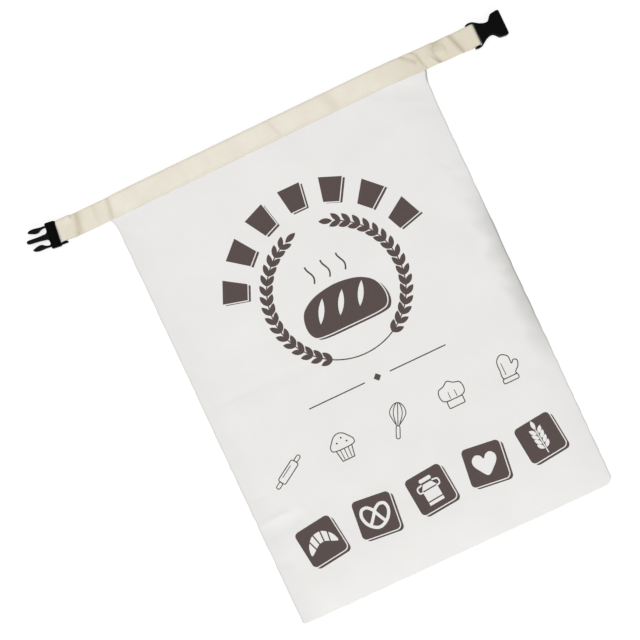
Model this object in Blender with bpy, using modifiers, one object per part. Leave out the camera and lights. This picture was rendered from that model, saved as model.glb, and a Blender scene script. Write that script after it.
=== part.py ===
# A roll-top cloth bread bag, lying empty on a flat surface: two white cotton panels, a cream webbing
# tape across the mouth, and the two halves of a side-release buckle on the tape's tails.
# Metres, +Z up, standing on z = 0. The origin is the middle of the footprint, +X runs along the tape
# towards the socket half of the buckle and +Y towards the mouth.

import math
from collections import namedtuple

import bmesh
import bpy
from mathutils import Matrix, Vector

# Cloth.
CLOTH = 0.0012  # thickness of a panel
PANEL_GAP = 0.00035  # between the two panels along their seams
BACK_LIFT = 0.0005  # the back panel's rise from the surface to its seams
BACK_SHOULDER = 0.014  # over this width
LOFT = 0.0051  # how far the front panel stands above its own seams
MOUTH_INSET = 0.0015  # the tape's top edge stands this far past the panels
FRONT_GRID = (32, 36)  # columns and rows of quads
BACK_GRID = (18, 20)
CROWD_ACROSS = 0.72  # how much closer the columns lie near the seams
CROWD_UP = 0.6

# Outline of the bag: its left and right edges at a few heights, and its bottom edge from left to right.
SideRow = namedtuple("SideRow", "y left right")
SIDES = (
    SideRow(y=-0.2090, left=-0.1546, right=0.1448),
    SideRow(y=-0.1450, left=-0.1543, right=0.1455),
    SideRow(y=-0.0600, left=-0.1540, right=0.1459),
    SideRow(y=0.0000, left=-0.1538, right=0.1463),
    SideRow(y=0.0280, left=-0.1537, right=0.1470),
    SideRow(y=0.1550, left=-0.1534, right=0.1471),
    SideRow(y=0.1770, left=-0.1532, right=0.1480),
    SideRow(y=0.1880, left=-0.1554, right=0.1512),
    SideRow(y=0.2090, left=-0.1550, right=0.1512),
)
BottomRow = namedtuple("BottomRow", "x y")
BOTTOM = (
    BottomRow(x=-0.1546, y=-0.2052),
    BottomRow(x=-0.1280, y=-0.2063),
    BottomRow(x=-0.0230, y=-0.2072),
    BottomRow(x=0.0500, y=-0.2081),
    BottomRow(x=0.1180, y=-0.2089),
    BottomRow(x=0.1448, y=-0.2080),
)
LEFT_CORNER = 0.0035  # radius of the bottom left corner
RIGHT_CORNER = 0.0070

# How wide the front panel's roll down to each seam is, and how sharp: 1 is a straight slope.
ShoulderRow = namedtuple("ShoulderRow", "y width sharpness")
RIGHT_SHOULDER = (
    ShoulderRow(y=-0.2090, width=0.034, sharpness=2.0),
    ShoulderRow(y=-0.1250, width=0.026, sharpness=2.4),
    ShoulderRow(y=-0.0300, width=0.021, sharpness=3.0),
    ShoulderRow(y=0.0400, width=0.021, sharpness=3.0),
    ShoulderRow(y=0.1300, width=0.026, sharpness=2.4),
    ShoulderRow(y=0.2090, width=0.034, sharpness=2.0),
)
LEFT_SHOULDER = 0.030
LEFT_SHARPNESS = 2.0
BOTTOM_SHOULDER = 0.032
BOTTOM_SHARPNESS = 2.0

# Soft folds of the front panel, each a ridge (rise above 0) or a trough along a straight line.
FoldRow = namedtuple("FoldRow", "name x0 y0 x1 y1 rise half_width")
FOLDS = (
    FoldRow("storage crease", -0.150, 0.000, -0.018, -0.005, -0.0004, 0.005),
    FoldRow("low diagonal ridge", -0.088, -0.180, -0.038, -0.130, 0.0007, 0.014),
    FoldRow("trough beside it", -0.110, -0.172, -0.062, -0.118, -0.0004, 0.013),
    FoldRow("left dent", -0.146, -0.122, -0.118, -0.138, -0.0008, 0.008),
    FoldRow("left crease", -0.154, -0.109, -0.120, -0.112, -0.0005, 0.005),
    FoldRow("mouth corner trough", 0.098, 0.182, 0.143, 0.164, -0.0010, 0.008),
    FoldRow("mouth corner ridge", 0.104, 0.158, 0.134, 0.146, 0.0005, 0.010),
    FoldRow("right dent", 0.118, 0.060, 0.128, 0.010, -0.0004, 0.009),
    FoldRow("right seam pucker", 0.122, -0.088, 0.140, -0.100, -0.0006, 0.007),
    FoldRow("middle swell", -0.030, 0.080, 0.060, 0.060, 0.0004, 0.030),
)
FOLD_FADE = 0.20  # share of a fold's length over which it fades out at each end

# Webbing tape: its middle line and half width along the mouth, and its thickness.
TAPE = 0.0012
TAPE_GAP = 0.0004  # between the tape and the front panel, and between its doubled layers
TapeRow = namedtuple("TapeRow", "x y half_width")
TAPE_LINE = (
    TapeRow(x=-0.2100, y=0.1953, half_width=0.0082),
    TapeRow(x=-0.1945, y=0.1952, half_width=0.0082),
    TapeRow(x=-0.1890, y=0.1959, half_width=0.0100),
    TapeRow(x=-0.1760, y=0.1961, half_width=0.0102),
    TapeRow(x=-0.1530, y=0.1960, half_width=0.0104),
    TapeRow(x=-0.0230, y=0.1971, half_width=0.0106),
    TapeRow(x=0.1090, y=0.1986, half_width=0.0101),
    TapeRow(x=0.1480, y=0.1976, half_width=0.0102),
    TapeRow(x=0.1800, y=0.1969, half_width=0.0100),
    TapeRow(x=0.1940, y=0.1966, half_width=0.0100),
    TapeRow(x=0.1985, y=0.1965, half_width=0.0097),
    TapeRow(x=0.2100, y=0.1965, half_width=0.0097),
)

# The panels' top edge, which lies this much below the y of each row.
MouthRow = namedtuple("MouthRow", "x y")
MOUTH = (
    MouthRow(x=-0.1760, y=0.2064),
    MouthRow(x=-0.1530, y=0.2064),
    MouthRow(x=-0.0230, y=0.2077),
    MouthRow(x=0.1090, y=0.2087),
    MouthRow(x=0.1480, y=0.2080),
    MouthRow(x=0.1800, y=0.2074),
)

# Each tail of the tape: how far past the bag's edge, and how high the middle of the tape is there.
TailRow = namedtuple("TailRow", "reach z")
LEFT_TAIL = (
    TailRow(reach=0.0050, z=0.0037),
    TailRow(reach=0.0110, z=0.0024),
    TailRow(reach=0.0170, z=0.0015),
    TailRow(reach=0.0235, z=0.0013),
    TailRow(reach=0.0262, z=0.0015),
    TailRow(reach=0.0290, z=0.0026),
    TailRow(reach=0.0340, z=0.0028),
    TailRow(reach=0.0385, z=0.0047),
)
RIGHT_TAIL = (
    TailRow(reach=0.0045, z=0.0045),
    TailRow(reach=0.0085, z=0.0050),
    TailRow(reach=0.0120, z=0.0036),
    TailRow(reach=0.0155, z=0.0017),
    TailRow(reach=0.0200, z=0.0013),
    TailRow(reach=0.0260, z=0.0022),
    TailRow(reach=0.0300, z=0.0032),
    TailRow(reach=0.0345, z=0.0024),
    TailRow(reach=0.0390, z=0.0027),
    TailRow(reach=0.0445, z=0.0047),
)
# The humps of the right tail don't run square across it: each leans along the tape by this much of
# the distance from the tape's middle, above it and below it.
LeanRow = namedtuple("LeanRow", "x span above below")
TAIL_LEANS = (
    LeanRow(x=0.1630, span=0.0120, above=0.45, below=-0.50),
    LeanRow(x=0.1840, span=0.0100, above=-0.32, below=-0.42),
)
DOUBLED = 0.0145  # length of tape doubled back under each tail, from the buckle's bar
DOUBLED_STATIONS = (0.18, 0.36, 0.6, 0.8, 1.0)  # shares of that length
SETTLED = 0.4  # share of it over which the doubled end comes down to the surface
TURN_START = 0.017  # the left tail starts to slant with its buckle half this far from the bar
TURN_OVER = 0.010
BLEND = 0.006  # over this distance each tail takes up the slant that the tape has on the bag
BAR_GAP = 0.00035  # between the tape and the bar it turns round
BENDS = 9  # steps of the turn round a bar
STATIONS = 34  # of the tape across the bag
CROWD_STATIONS = 0.6
TAPE_WIDTHS = 6
TAIL_FOLDS = (
    FoldRow("right tail, lower fold", 0.1590, 0.1960, 0.1660, 0.1860, -0.0008, 0.0022),
    FoldRow("right tail, bend", 0.1810, 0.2080, 0.1880, 0.1850, -0.0003, 0.0026),
    FoldRow("left tail, bend", -0.1815, 0.2080, -0.1875, 0.1850, -0.0003, 0.0028),
)

# Side-release buckle, 20 mm size. Along its own axis, 0 is where the tape turns round the bar.
BUCKLE_MID_Z = 0.0039  # height of the bars and of the middle of both halves
BAR_RADIUS = 0.0015
PLUG_BAR_AT = -0.0031  # the middle of each half's bar, along the axis
SOCKET_BAR_AT = -0.0024
ARM_INNER = 0.01025  # half the width between the arms that hold the bar
ARM_TIP = -0.0060
ARM_START = 0.0045  # the plug's arms leave its body here
ARM_HALF_HEIGHT = 0.0016
PLUG_BAR_HALF = 0.0098  # half each bar's length, its ends inside the arms
SOCKET_BAR_HALF = 0.0108
BAR_SIDES = 16
PRONG_HALF_HEIGHT = 0.0022
REAR_HALF_HEIGHT = 0.0029
PLUG_AT = Vector((-0.2021, 0.1957, 0.0))
PLUG_TURN = math.radians(173.0)  # the prongs point to -X, 7 degrees off the tape's own line
SOCKET_AT = Vector((0.2042, 0.1963, 0.0))
SOCKET_TURN = 0.0
CAVITY_HALF = 0.0102  # the socket's inside, half its width
CAVITY_HEIGHT = 0.0050
CAVITY_START = 0.0080
MOUTH_AT = 0.0260  # the socket's mouth, along the axis
CUT_PAST = 0.001  # how far a cutter goes past the face it opens
RECESS = 0.0004  # depth of the sunk field on top of the socket
ROUNDING_SHARE = 0.48  # the most of an edge that the rounding of one of its corners may take
ARC_STEP = math.radians(26.0)

# A buckle outline has a row for each corner of its upper half: along, across, radius of the rounding.
Corner = namedtuple("Corner", "along across radius")
PRONGS = (
    Corner(0.0288, 0.0012, 0.0008),
    Corner(0.0268, 0.0018, 0.0020),
    Corner(0.0180, 0.0020, 0.0200),
    Corner(0.0092, 0.0028, 0.0032),
    Corner(0.0092, 0.0078, 0.0012),
    Corner(0.0128, 0.0078, 0.0040),
    Corner(0.0168, 0.0053, 0.0015),
    Corner(0.0198, 0.0053, 0.0030),
    Corner(0.0263, 0.0076, 0.0009),
    Corner(0.0243, 0.0096, 0.0022),
    Corner(0.0200, 0.0102, 0.0060),
    Corner(0.0140, 0.0096, 0.0100),
    Corner(0.0060, 0.0098, 0.0),
)
SOCKET_FRONT = (
    Corner(MOUTH_AT, 0.0113, 0.0012),
    Corner(0.0240, 0.0119, 0.0030),
    Corner(0.0178, 0.0111, 0.0018),
    Corner(0.0150, 0.0076, 0.0036),
    Corner(0.0132, 0.0060, 0.0030),
    Corner(0.0102, 0.0059, 0.0050),
    Corner(0.0060, 0.0076, 0.0),
)
SOCKET_FIELD = (
    Corner(0.0236, 0.0093, 0.0008),
    Corner(0.0194, 0.0087, 0.0012),
    Corner(0.0160, 0.0046, 0.0030),
    Corner(0.0138, 0.0034, 0.0030),
    Corner(0.0098, 0.0034, 0.0008),
)
SOCKET_REAR = (
    Corner(0.0100, 0.0050, 0.0),
    Corner(0.0080, 0.0064, 0.0060),
    Corner(0.0040, 0.0091, 0.0100),
    Corner(0.0006, 0.0114, 0.0030),
    Corner(-0.0024, 0.0120, 0.0030),
    Corner(ARM_TIP, 0.0115, 0.0006),
    Corner(ARM_TIP, ARM_INNER, 0.0004),
    Corner(0.0011, ARM_INNER, 0.0010),
)
# The plug's body seen from its side: along, height, radius. It is highest along a ridge across its top.
PLUG_BODY = (
    Corner(0.0004, 0.0016, 0.0006),
    Corner(0.0015, 0.0002, 0.0010),
    Corner(0.0074, 0.0002, 0.0012),
    Corner(0.0093, 0.0016, 0.0008),
    Corner(0.0093, 0.0060, 0.0008),
    Corner(0.0050, 0.0076, 0.0010),
    Corner(0.0004, 0.0058, 0.0008),
)
PLUG_HALF = 0.0117
# One of the plug's arms: they draw in a little towards their tips.
PLUG_ARM = (
    Corner(ARM_TIP, 0.0088, 0.0006),
    Corner(ARM_TIP, 0.0107, 0.0006),
    Corner(-0.0006, 0.0109, 0.0040),
    Corner(ARM_START, PLUG_HALF, 0.0),
    Corner(ARM_START, 0.0088, 0.0),
)

for old in list(bpy.data.objects):
    bpy.data.objects.remove(old, do_unlink=True)
bag_collection = bpy.data.collections.new("bread_bag")
cutter_collection = bpy.data.collections.new("cutters")
bpy.context.scene.collection.children.link(bag_collection)
bpy.context.scene.collection.children.link(cutter_collection)


def make_material(name, colour, roughness):
    """A plain Principled finish."""
    material = bpy.data.materials.new(name)
    material.use_nodes = True
    shader = material.node_tree.nodes["Principled BSDF"]
    shader.inputs["Base Color"].default_value = (*colour, 1.0)
    shader.inputs["Roughness"].default_value = roughness
    shader.inputs["Metallic"].default_value = 0.0
    return material


def row_value(rows, key, field, at):
    """The value of a field of the rows at a place between them, changing evenly from row to row."""
    if at <= getattr(rows[0], key):
        return getattr(rows[0], field)
    for low, high in zip(rows, rows[1:]):
        a, b = getattr(low, key), getattr(high, key)
        if at <= b:
            share = (at - a) / (b - a)
            return getattr(low, field) * (1 - share) + getattr(high, field) * share
    return getattr(rows[-1], field)


def left_edge(y):
    return row_value(SIDES, "y", "left", y)


def right_edge(y):
    return row_value(SIDES, "y", "right", y)


def tape_middle(x):
    return row_value(TAPE_LINE, "x", "y", x)


def mouth_edge(x):
    """The y of the panels' top edge, a little below the tape's."""
    return row_value(MOUTH, "x", "y", x) - MOUTH_INSET


def bottom_edge(x):
    """The y of the bottom seam, turned up round both corners."""
    y = row_value(BOTTOM, "x", "y", x)
    corners = ((x - BOTTOM[0].x, LEFT_CORNER), (BOTTOM[-1].x - x, RIGHT_CORNER))
    for inward, radius in corners:
        if inward < radius:
            along = radius - max(inward, 0.0)
            y += radius - math.sqrt(max(radius**2 - along**2, 0.0))
    return y


def shoulder(distance, width, sharpness):
    """0 at a seam, rising to 1 over a width, steepest at the seam."""
    return 1.0 - (1.0 - min(max(distance / width, 0.0), 1.0)) ** sharpness


def fold_height(folds, x, y):
    """The sum of the soft ridges and troughs at a point."""
    total = 0.0
    for fold in folds:
        run = Vector((fold.x1 - fold.x0, fold.y1 - fold.y0))
        place = Vector((x - fold.x0, y - fold.y0))
        along = place.dot(run) / run.length_squared
        off = (place - run * along).length
        end = min(along, 1.0 - along) / FOLD_FADE + 0.5
        fade = min(max(end, 0.0), 1.0)
        fade = fade * fade * (3.0 - 2.0 * fade)
        total += fold.rise * fade * math.exp(-((off / fold.half_width) ** 2))
    return total


def front_height(x, y):
    """The front panel's underside: down at its seams, a soft pillow between them, with its folds."""
    right_width = row_value(RIGHT_SHOULDER, "y", "width", y)
    right_sharpness = row_value(RIGHT_SHOULDER, "y", "sharpness", y)
    left = shoulder(x - left_edge(y), LEFT_SHOULDER, LEFT_SHARPNESS)
    right = shoulder(right_edge(y) - x, right_width, right_sharpness)
    bottom = shoulder(y - bottom_edge(x), BOTTOM_SHOULDER, BOTTOM_SHARPNESS)
    raised = left * right * bottom
    seam = BACK_LIFT + CLOTH + PANEL_GAP
    return seam + LOFT * raised + fold_height(FOLDS, x, y) * raised


def back_height(x, y):
    """The back panel's underside: flat on the surface, lifting a little to its seams."""
    to_seam = min(x - left_edge(y), right_edge(y) - x, y - bottom_edge(x))
    return BACK_LIFT * (1.0 - shoulder(to_seam, BACK_SHOULDER, 2.0))


def crowded(share, crowding):
    """A share from 0 to 1 moved towards its nearer end, so that rows lie closer near the seams."""
    return share - crowding * math.sin(2.0 * math.pi * share) / (2.0 * math.pi)


def grid_object(name, grid, place, thickness, offset, material):
    """A sheet: a grid of quads bent by place(column share, row share), then made solid."""
    bm = bmesh.new()
    bmesh.ops.create_grid(bm, x_segments=grid[0], y_segments=grid[1], size=1.0)
    for vert in bm.verts:
        vert.co = place((vert.co.x + 1.0) / 2.0, (vert.co.y + 1.0) / 2.0)
    mesh = bpy.data.meshes.new(name)
    bm.to_mesh(mesh)
    bm.free()
    mesh.shade_smooth()
    sheet = bpy.data.objects.new(name, mesh)
    bag_collection.objects.link(sheet)
    solid = sheet.modifiers.new("thickness", "SOLIDIFY")
    solid.thickness = thickness
    solid.offset = offset
    mesh.materials.append(material)
    return sheet


def make_panel(name, height, grid, material):
    """One panel, cut to the bag's outline and bent to its height function."""

    def place(across, up):
        across, up = crowded(across, CROWD_ACROSS), crowded(up, CROWD_UP)
        low, high = SIDES[0].y, SIDES[-1].y
        y = low + (high - low) * up
        x = left_edge(y) * (1.0 - across) + right_edge(y) * across
        y = bottom_edge(x) * (1.0 - up) + mouth_edge(x) * up
        return Vector((x, y, height(x, y)))

    return grid_object(name, grid, place, CLOTH, 1.0, material)


def smooth_rows(rows, ends, steps):
    """Points of a soft curve through the rows and both end points, as (reach, z)."""
    knots = [ends[0], *((row.reach, row.z) for row in rows), ends[1]]
    points = []
    for i in range(len(knots) - 1):
        before, a, b = knots[max(i - 1, 0)], knots[i], knots[i + 1]
        after = knots[min(i + 2, len(knots) - 1)]
        for step in range(steps):
            t = step / steps
            reach = a[0] + (b[0] - a[0]) * t
            slope_a = (b[1] - before[1]) / 2.0
            slope_b = (after[1] - a[1]) / 2.0
            z = (
                (2 * t**3 - 3 * t**2 + 1) * a[1]
                + (t**3 - 2 * t**2 + t) * slope_a
                + (3 * t**2 - 2 * t**3) * b[1]
                + (t**3 - t**2) * slope_b
            )
            points.append((reach, z))
    return points


def tail_path(rows, edge, bar, out):
    """A tail's middle line as (x, z, creased), from the bag's edge over the bar, round it and back."""
    turn = BAR_RADIUS + BAR_GAP + TAPE / 2.0
    edge_z = tape_height(edge, tape_middle(edge))
    ends = ((0.0, edge_z), (abs(bar - edge), BUCKLE_MID_Z + turn))
    path = [(edge + out * reach, z, True) for reach, z in smooth_rows(rows, ends, 2)]
    for i in range(BENDS + 1):
        angle = math.pi / 2.0 - math.pi * i / BENDS
        height = BUCKLE_MID_Z + turn * math.sin(angle)
        path.append((bar + out * turn * math.cos(angle), height, False))
    under, floor = BUCKLE_MID_Z - turn, TAPE / 2.0
    for share in DOUBLED_STATIONS:
        settle = min(share / SETTLED, 1.0)
        path.append((bar - out * DOUBLED * share, under + (floor - under) * settle, False))
    return path


def leaned(x, w):
    """How far along the tape the tails' humps lean at a distance w from its middle."""
    total = 0.0
    for row in TAIL_LEANS:
        share = max(0.0, 1.0 - abs(x - row.x) / row.span)
        share = share * share * (3.0 - 2.0 * share)
        total += share * (row.above if w > 0 else row.below) * w
    return total


def tape_height(x, y):
    """The middle of the tape where it lies on the front panel."""
    return front_height(x, y) + CLOTH + TAPE_GAP + TAPE / 2.0


def bar_place(at, turn, bar_at):
    """Where the middle of a buckle half's bar is, in plan."""
    return at.xy + Matrix.Rotation(turn, 2) @ Vector((bar_at, 0.0))


def make_tape(material):
    """The whole tape, from under the plug's bar across the mouth to under the socket's bar."""
    left_bar = bar_place(PLUG_AT, PLUG_TURN, PLUG_BAR_AT)
    right_bar = bar_place(SOCKET_AT, SOCKET_TURN, SOCKET_BAR_AT)
    left, right = left_edge(left_bar.y), right_edge(right_bar.y)
    left_tail = tail_path(LEFT_TAIL, left, left_bar.x, -1.0)
    right_tail = tail_path(RIGHT_TAIL, right, right_bar.x, 1.0)
    shares = [crowded(i / STATIONS, CROWD_STATIONS) for i in range(1, STATIONS)]
    across_bag = [(left + (right - left) * share, None, False) for share in shares]
    path = left_tail[::-1] + across_bag + right_tail

    def place(along, across):
        x, z, creased = path[round(along * (len(path) - 1))]
        w = (2.0 * across - 1.0) * row_value(TAPE_LINE, "x", "half_width", x)
        y = tape_middle(x) + w
        if z is None:
            return Vector((x, y, tape_height(x, y)))
        edge = left if x < 0 else right
        near = max(0.0, 1.0 - abs(x - edge) / BLEND)
        z += near * (tape_height(edge, y) - tape_height(edge, tape_middle(edge)))
        if creased:
            x += leaned(x, w)
            z += fold_height(TAIL_FOLDS, x, y)
        if x > 0:
            return Vector((x, y, z))
        # The left end slants with the plug's bar, which isn't square to the tape.
        slanted = min(max((TURN_START - x + left_bar.x) / TURN_OVER, 0.0), 1.0)
        return Vector((x + slanted * (y - left_bar.y) * math.tan(math.pi - PLUG_TURN), y, z))

    return grid_object("band_tape", (len(path) - 1, TAPE_WIDTHS), place, TAPE, 0.0, material)


def rounded(corners):
    """The closed outline through the corners, each rounded to its own radius by short steps of an arc."""
    points = []
    for i, corner in enumerate(corners):
        here = Vector((corner.along, corner.across))
        back = Vector(corners[i - 1][:2]) - here
        ahead = Vector(corners[(i + 1) % len(corners)][:2]) - here
        between = back.angle(ahead)
        room = ROUNDING_SHARE * min(back.length, ahead.length)
        reach = min(corner.radius / math.tan(between / 2.0), room)
        if reach < 1e-6 or math.pi - between < 0.05:
            points.append(here)
            continue
        radius = reach * math.tan(between / 2.0)
        back.normalize()
        ahead.normalize()
        centre = here + (back + ahead).normalized() * radius / math.sin(between / 2.0)
        first, last = here + back * reach - centre, here + ahead * reach - centre
        sweep = first.angle_signed(last)
        steps = max(1, round(abs(sweep) / ARC_STEP))
        for step in range(steps + 1):
            points.append(centre + Matrix.Rotation(-sweep * step / steps, 2) @ first)
    return points


def plate(name, corners, low, high, rounding, collection, upright=False):
    """A plate with rounded rims from low to high, cut to the corners' outline.

    An upright plate's outline is in the along and height plane, and low and high are across.
    """
    curve = bpy.data.curves.new(name, "CURVE")
    curve.dimensions = "2D"
    curve.fill_mode = "BOTH"
    curve.extrude = (high - low) / 2.0 - rounding
    curve.bevel_depth = rounding
    curve.bevel_resolution = 1
    curve.offset = -rounding
    curve.resolution_u = 1
    curve.render_resolution_u = 0
    outline = rounded(corners)
    spline = curve.splines.new("POLY")
    spline.points.add(len(outline) - 1)
    for point, at in zip(spline.points, outline):
        point.co = (at.x, at.y, 0.0, 1.0)
    spline.use_cyclic_u = True
    flat = bpy.data.objects.new(name + "_outline", curve)
    bpy.context.scene.collection.objects.link(flat)
    flat.location = (0.0, 0.0, (low + high) / 2.0)
    if upright:
        flat.rotation_euler = (math.pi / 2.0, 0.0, 0.0)
        flat.location = (0.0, (low + high) / 2.0, 0.0)
    bpy.context.view_layer.update()
    evaluated = flat.evaluated_get(bpy.context.evaluated_depsgraph_get())
    mesh = bpy.data.meshes.new_from_object(evaluated)
    mesh.transform(flat.matrix_world)
    bpy.data.objects.remove(flat)
    bm = bmesh.new()
    bm.from_mesh(mesh)
    bmesh.ops.remove_doubles(bm, verts=bm.verts, dist=0.00001)
    bmesh.ops.recalc_face_normals(bm, faces=bm.faces)
    bm.to_mesh(mesh)
    bm.free()
    mesh.name = name
    made = bpy.data.objects.new(name, mesh)
    collection.objects.link(made)
    return made


def bar(name, at, half):
    """The round bar that the tape turns round, lying across the buckle."""
    bm = bmesh.new()
    bmesh.ops.create_cone(
        bm,
        cap_ends=True,
        segments=BAR_SIDES,
        radius1=BAR_RADIUS,
        radius2=BAR_RADIUS,
        depth=2.0 * half,
    )
    mesh = bpy.data.meshes.new(name)
    bm.to_mesh(mesh)
    bm.free()
    made = bpy.data.objects.new(name, mesh)
    made.rotation_euler = (math.pi / 2.0, 0.0, 0.0)
    made.location = (at, 0.0, BUCKLE_MID_Z)
    cutter_collection.objects.link(made)
    return made


def block(name, low, high):
    """A plain box from its low to its high corner."""
    bm = bmesh.new()
    bmesh.ops.create_cube(bm, size=1.0)
    for vert in bm.verts:
        share = vert.co + Vector((0.5, 0.5, 0.5))
        vert.co = Vector([a + (b - a) * s for a, b, s in zip(low, high, share)])
    mesh = bpy.data.meshes.new(name)
    bm.to_mesh(mesh)
    bm.free()
    made = bpy.data.objects.new(name, mesh)
    cutter_collection.objects.link(made)
    return made


def mirrored(corners):
    """The whole outline of a symmetric shape from the corners of its upper half."""
    return (*corners, *(Corner(c.along, -c.across, c.radius) for c in reversed(corners)))


def combine(base, operation, others):
    """Joins the others to the base, or cuts them from it; they stay as hidden guides."""
    for other in others:
        other.hide_render = True
        other.display_type = "WIRE"
        other.parent = base
        change = base.modifiers.new(other.name, "BOOLEAN")
        change.operation = operation
        change.solver = "EXACT"
        change.object = other


def level(name, corners, half_height, rounding, collection=cutter_collection):
    """A plate with its middle at the height of the buckle's."""
    low, high = BUCKLE_MID_Z - half_height, BUCKLE_MID_Z + half_height
    return plate(name, corners, low, high, rounding, collection)


def plug_arm(name, side):
    """One of the two arms that hold the plug's bar."""
    corners = [Corner(row.along, side * row.across, row.radius) for row in PLUG_ARM]
    return level(name, corners, ARM_HALF_HEIGHT, 0.0003)


def make_plug(material):
    """The pronged half: body, two barbed prongs and a middle one, and the frame for the tape."""
    name = "buckle_prong_half"
    plug = plate(name, PLUG_BODY, -PLUG_HALF, PLUG_HALF, 0.0008, bag_collection, upright=True)
    prongs = level("prongs", mirrored(PRONGS), PRONG_HALF_HEIGHT, 0.0006)
    frame = [
        plug_arm("plug_arm_left", 1.0),
        plug_arm("plug_arm_right", -1.0),
        bar("plug_bar", PLUG_BAR_AT, PLUG_BAR_HALF),
    ]
    combine(plug, "UNION", [prongs, *frame])
    plug.location = PLUG_AT
    plug.rotation_euler = (0.0, 0.0, PLUG_TURN)
    plug.data.materials.append(material)
    return plug


def make_socket(material):
    """The hollow half: a waisted housing, open at its mouth and at both sides of its waist."""
    name = "buckle_socket_half"
    socket = level(name, mirrored(SOCKET_FRONT), BUCKLE_MID_Z, 0.0009, bag_collection)
    rear = level("socket_rear", mirrored(SOCKET_REAR), REAR_HALF_HEIGHT, 0.0004)
    combine(socket, "UNION", [rear, bar("socket_bar", SOCKET_BAR_AT, SOCKET_BAR_HALF)])
    cavity = block(
        "socket_cavity",
        (CAVITY_START, -CAVITY_HALF, BUCKLE_MID_Z - CAVITY_HEIGHT / 2.0),
        (MOUTH_AT + CUT_PAST, CAVITY_HALF, BUCKLE_MID_Z + CAVITY_HEIGHT / 2.0),
    )
    top = 2.0 * BUCKLE_MID_Z
    field = mirrored(SOCKET_FIELD)
    sunk = plate("socket_field", field, top - RECESS, top + CUT_PAST, 0.0001, cutter_collection)
    combine(socket, "DIFFERENCE", [cavity, sunk])
    socket.location = SOCKET_AT
    socket.rotation_euler = (0.0, 0.0, SOCKET_TURN)
    socket.data.materials.append(material)
    return socket


cotton = make_material("white_cotton", (0.79, 0.79, 0.77), 0.9)
webbing = make_material("cream_webbing", (0.77, 0.73, 0.62), 0.9)
black_plastic = make_material("black_plastic", (0.012, 0.012, 0.013), 0.45)

make_panel("back_panel", back_height, BACK_GRID, cotton)
make_panel("front_panel", front_height, FRONT_GRID, cotton)
make_tape(webbing)
make_plug(black_plastic)
make_socket(black_plastic)
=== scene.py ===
import math

import bpy
import numpy as np
from mathutils import Matrix, Vector
from mathutils.bvhtree import BVHTree
from mathutils.geometry import delaunay_2d_cdt
from mathutils.kdtree import KDTree


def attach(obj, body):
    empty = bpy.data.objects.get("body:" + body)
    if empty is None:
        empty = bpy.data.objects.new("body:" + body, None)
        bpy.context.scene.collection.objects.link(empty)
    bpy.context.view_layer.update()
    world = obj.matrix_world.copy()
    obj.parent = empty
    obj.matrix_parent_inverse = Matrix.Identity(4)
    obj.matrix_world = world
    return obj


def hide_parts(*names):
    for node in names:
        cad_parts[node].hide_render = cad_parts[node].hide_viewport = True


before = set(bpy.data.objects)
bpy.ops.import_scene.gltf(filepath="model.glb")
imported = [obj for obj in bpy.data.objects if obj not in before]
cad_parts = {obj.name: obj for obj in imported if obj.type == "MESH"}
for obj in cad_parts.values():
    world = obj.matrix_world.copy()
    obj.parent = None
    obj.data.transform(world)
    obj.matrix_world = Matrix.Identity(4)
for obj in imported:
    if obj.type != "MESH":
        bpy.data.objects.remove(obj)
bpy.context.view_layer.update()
mm = 0.001

# The bag's outline in metres: +X along the band towards the socket, +Y towards the mouth.
bag = {
    "leftEdge": ((-0.209, -0.1546), (-0.145, -0.1543), (-0.06, -0.154), (0.0, -0.1538),
                 (0.028, -0.1537), (0.155, -0.1535), (0.177, -0.1535), (0.1825, -0.1537),
                 (0.1875, -0.1555), (0.209, -0.155)),
    "rightEdge": ((-0.209, 0.1456), (-0.145, 0.146), (-0.06, 0.1465), (0.0, 0.1466),
                  (0.028, 0.1472), (0.155, 0.1476), (0.177, 0.1485), (0.183, 0.1495),
                  (0.188, 0.1516), (0.209, 0.1512)),
    "bottomEdge": ((-0.1546, -0.2078), (-0.128, -0.2082), (-0.023, -0.2092), (0.05, -0.21),
                   (0.118, -0.2107), (0.1456, -0.2104)),
    "mouthEdge": ((-0.153, 0.2047), (-0.023, 0.2056), (0.109, 0.2064), (0.148, 0.206),
                  (0.18, 0.2057)),
    "cornerRadii": (0.0035, 0.007),
    "width": 0.3,
    "length": 0.415,
    "lowestY": -0.2075,  # near enough to the bottom seam to find the side edges' x by
    "seamTop": 0.00325,  # height of the front panel where it rolls over at its seams
    "seamPucker": (0.00028, 0.006, 0.002),  # how far the stitched edges wander, bump size, fade
    "seamBumps": (0.00022, 0.0052),  # height and size of the bumps along the seams
    "bumps": ((0.00016, 0.046, 3), (0.00007, 0.017, 4)),  # height, size and seed
    "foldBend": (0.0016, 0.021),  # no fold runs quite straight
    "foldsAtSeam": 0.35,  # share of their height that folds keep at a seam
    "rollRadius": 0.00135,
    "loft": 0.0051,
    "leftShoulder": (0.03, 2.0),  # width of the slope down to the seam, and how steep it ends
    "bottomShoulder": ((-0.155, 0.032, 2.0), (0.02, 0.042, 2.0), (0.145, 0.066, 1.9)),
    "rightShoulder": ((-0.209, 0.034, 1.8), (-0.125, 0.03, 2.0), (-0.06, 0.021, 2.8),
                      (-0.03, 0.02, 3.0), (0.05, 0.02, 3.0), (0.09, 0.026, 2.2),
                      (0.13, 0.036, 1.8), (0.209, 0.036, 1.8)),
    "backLift": (0.0005, 0.014),
    "clothThickness": 0.0008,
    "hemThickness": 0.0005,
    "hemDepth": 0.017,
    "rimRounding": (0.0006, 0.0003),  # how far in the cut edges are rounded: mouth, seams
    "frontStep": 0.002,  # spacing of the mesh
    "backStep": 0.0034,
}

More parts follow.
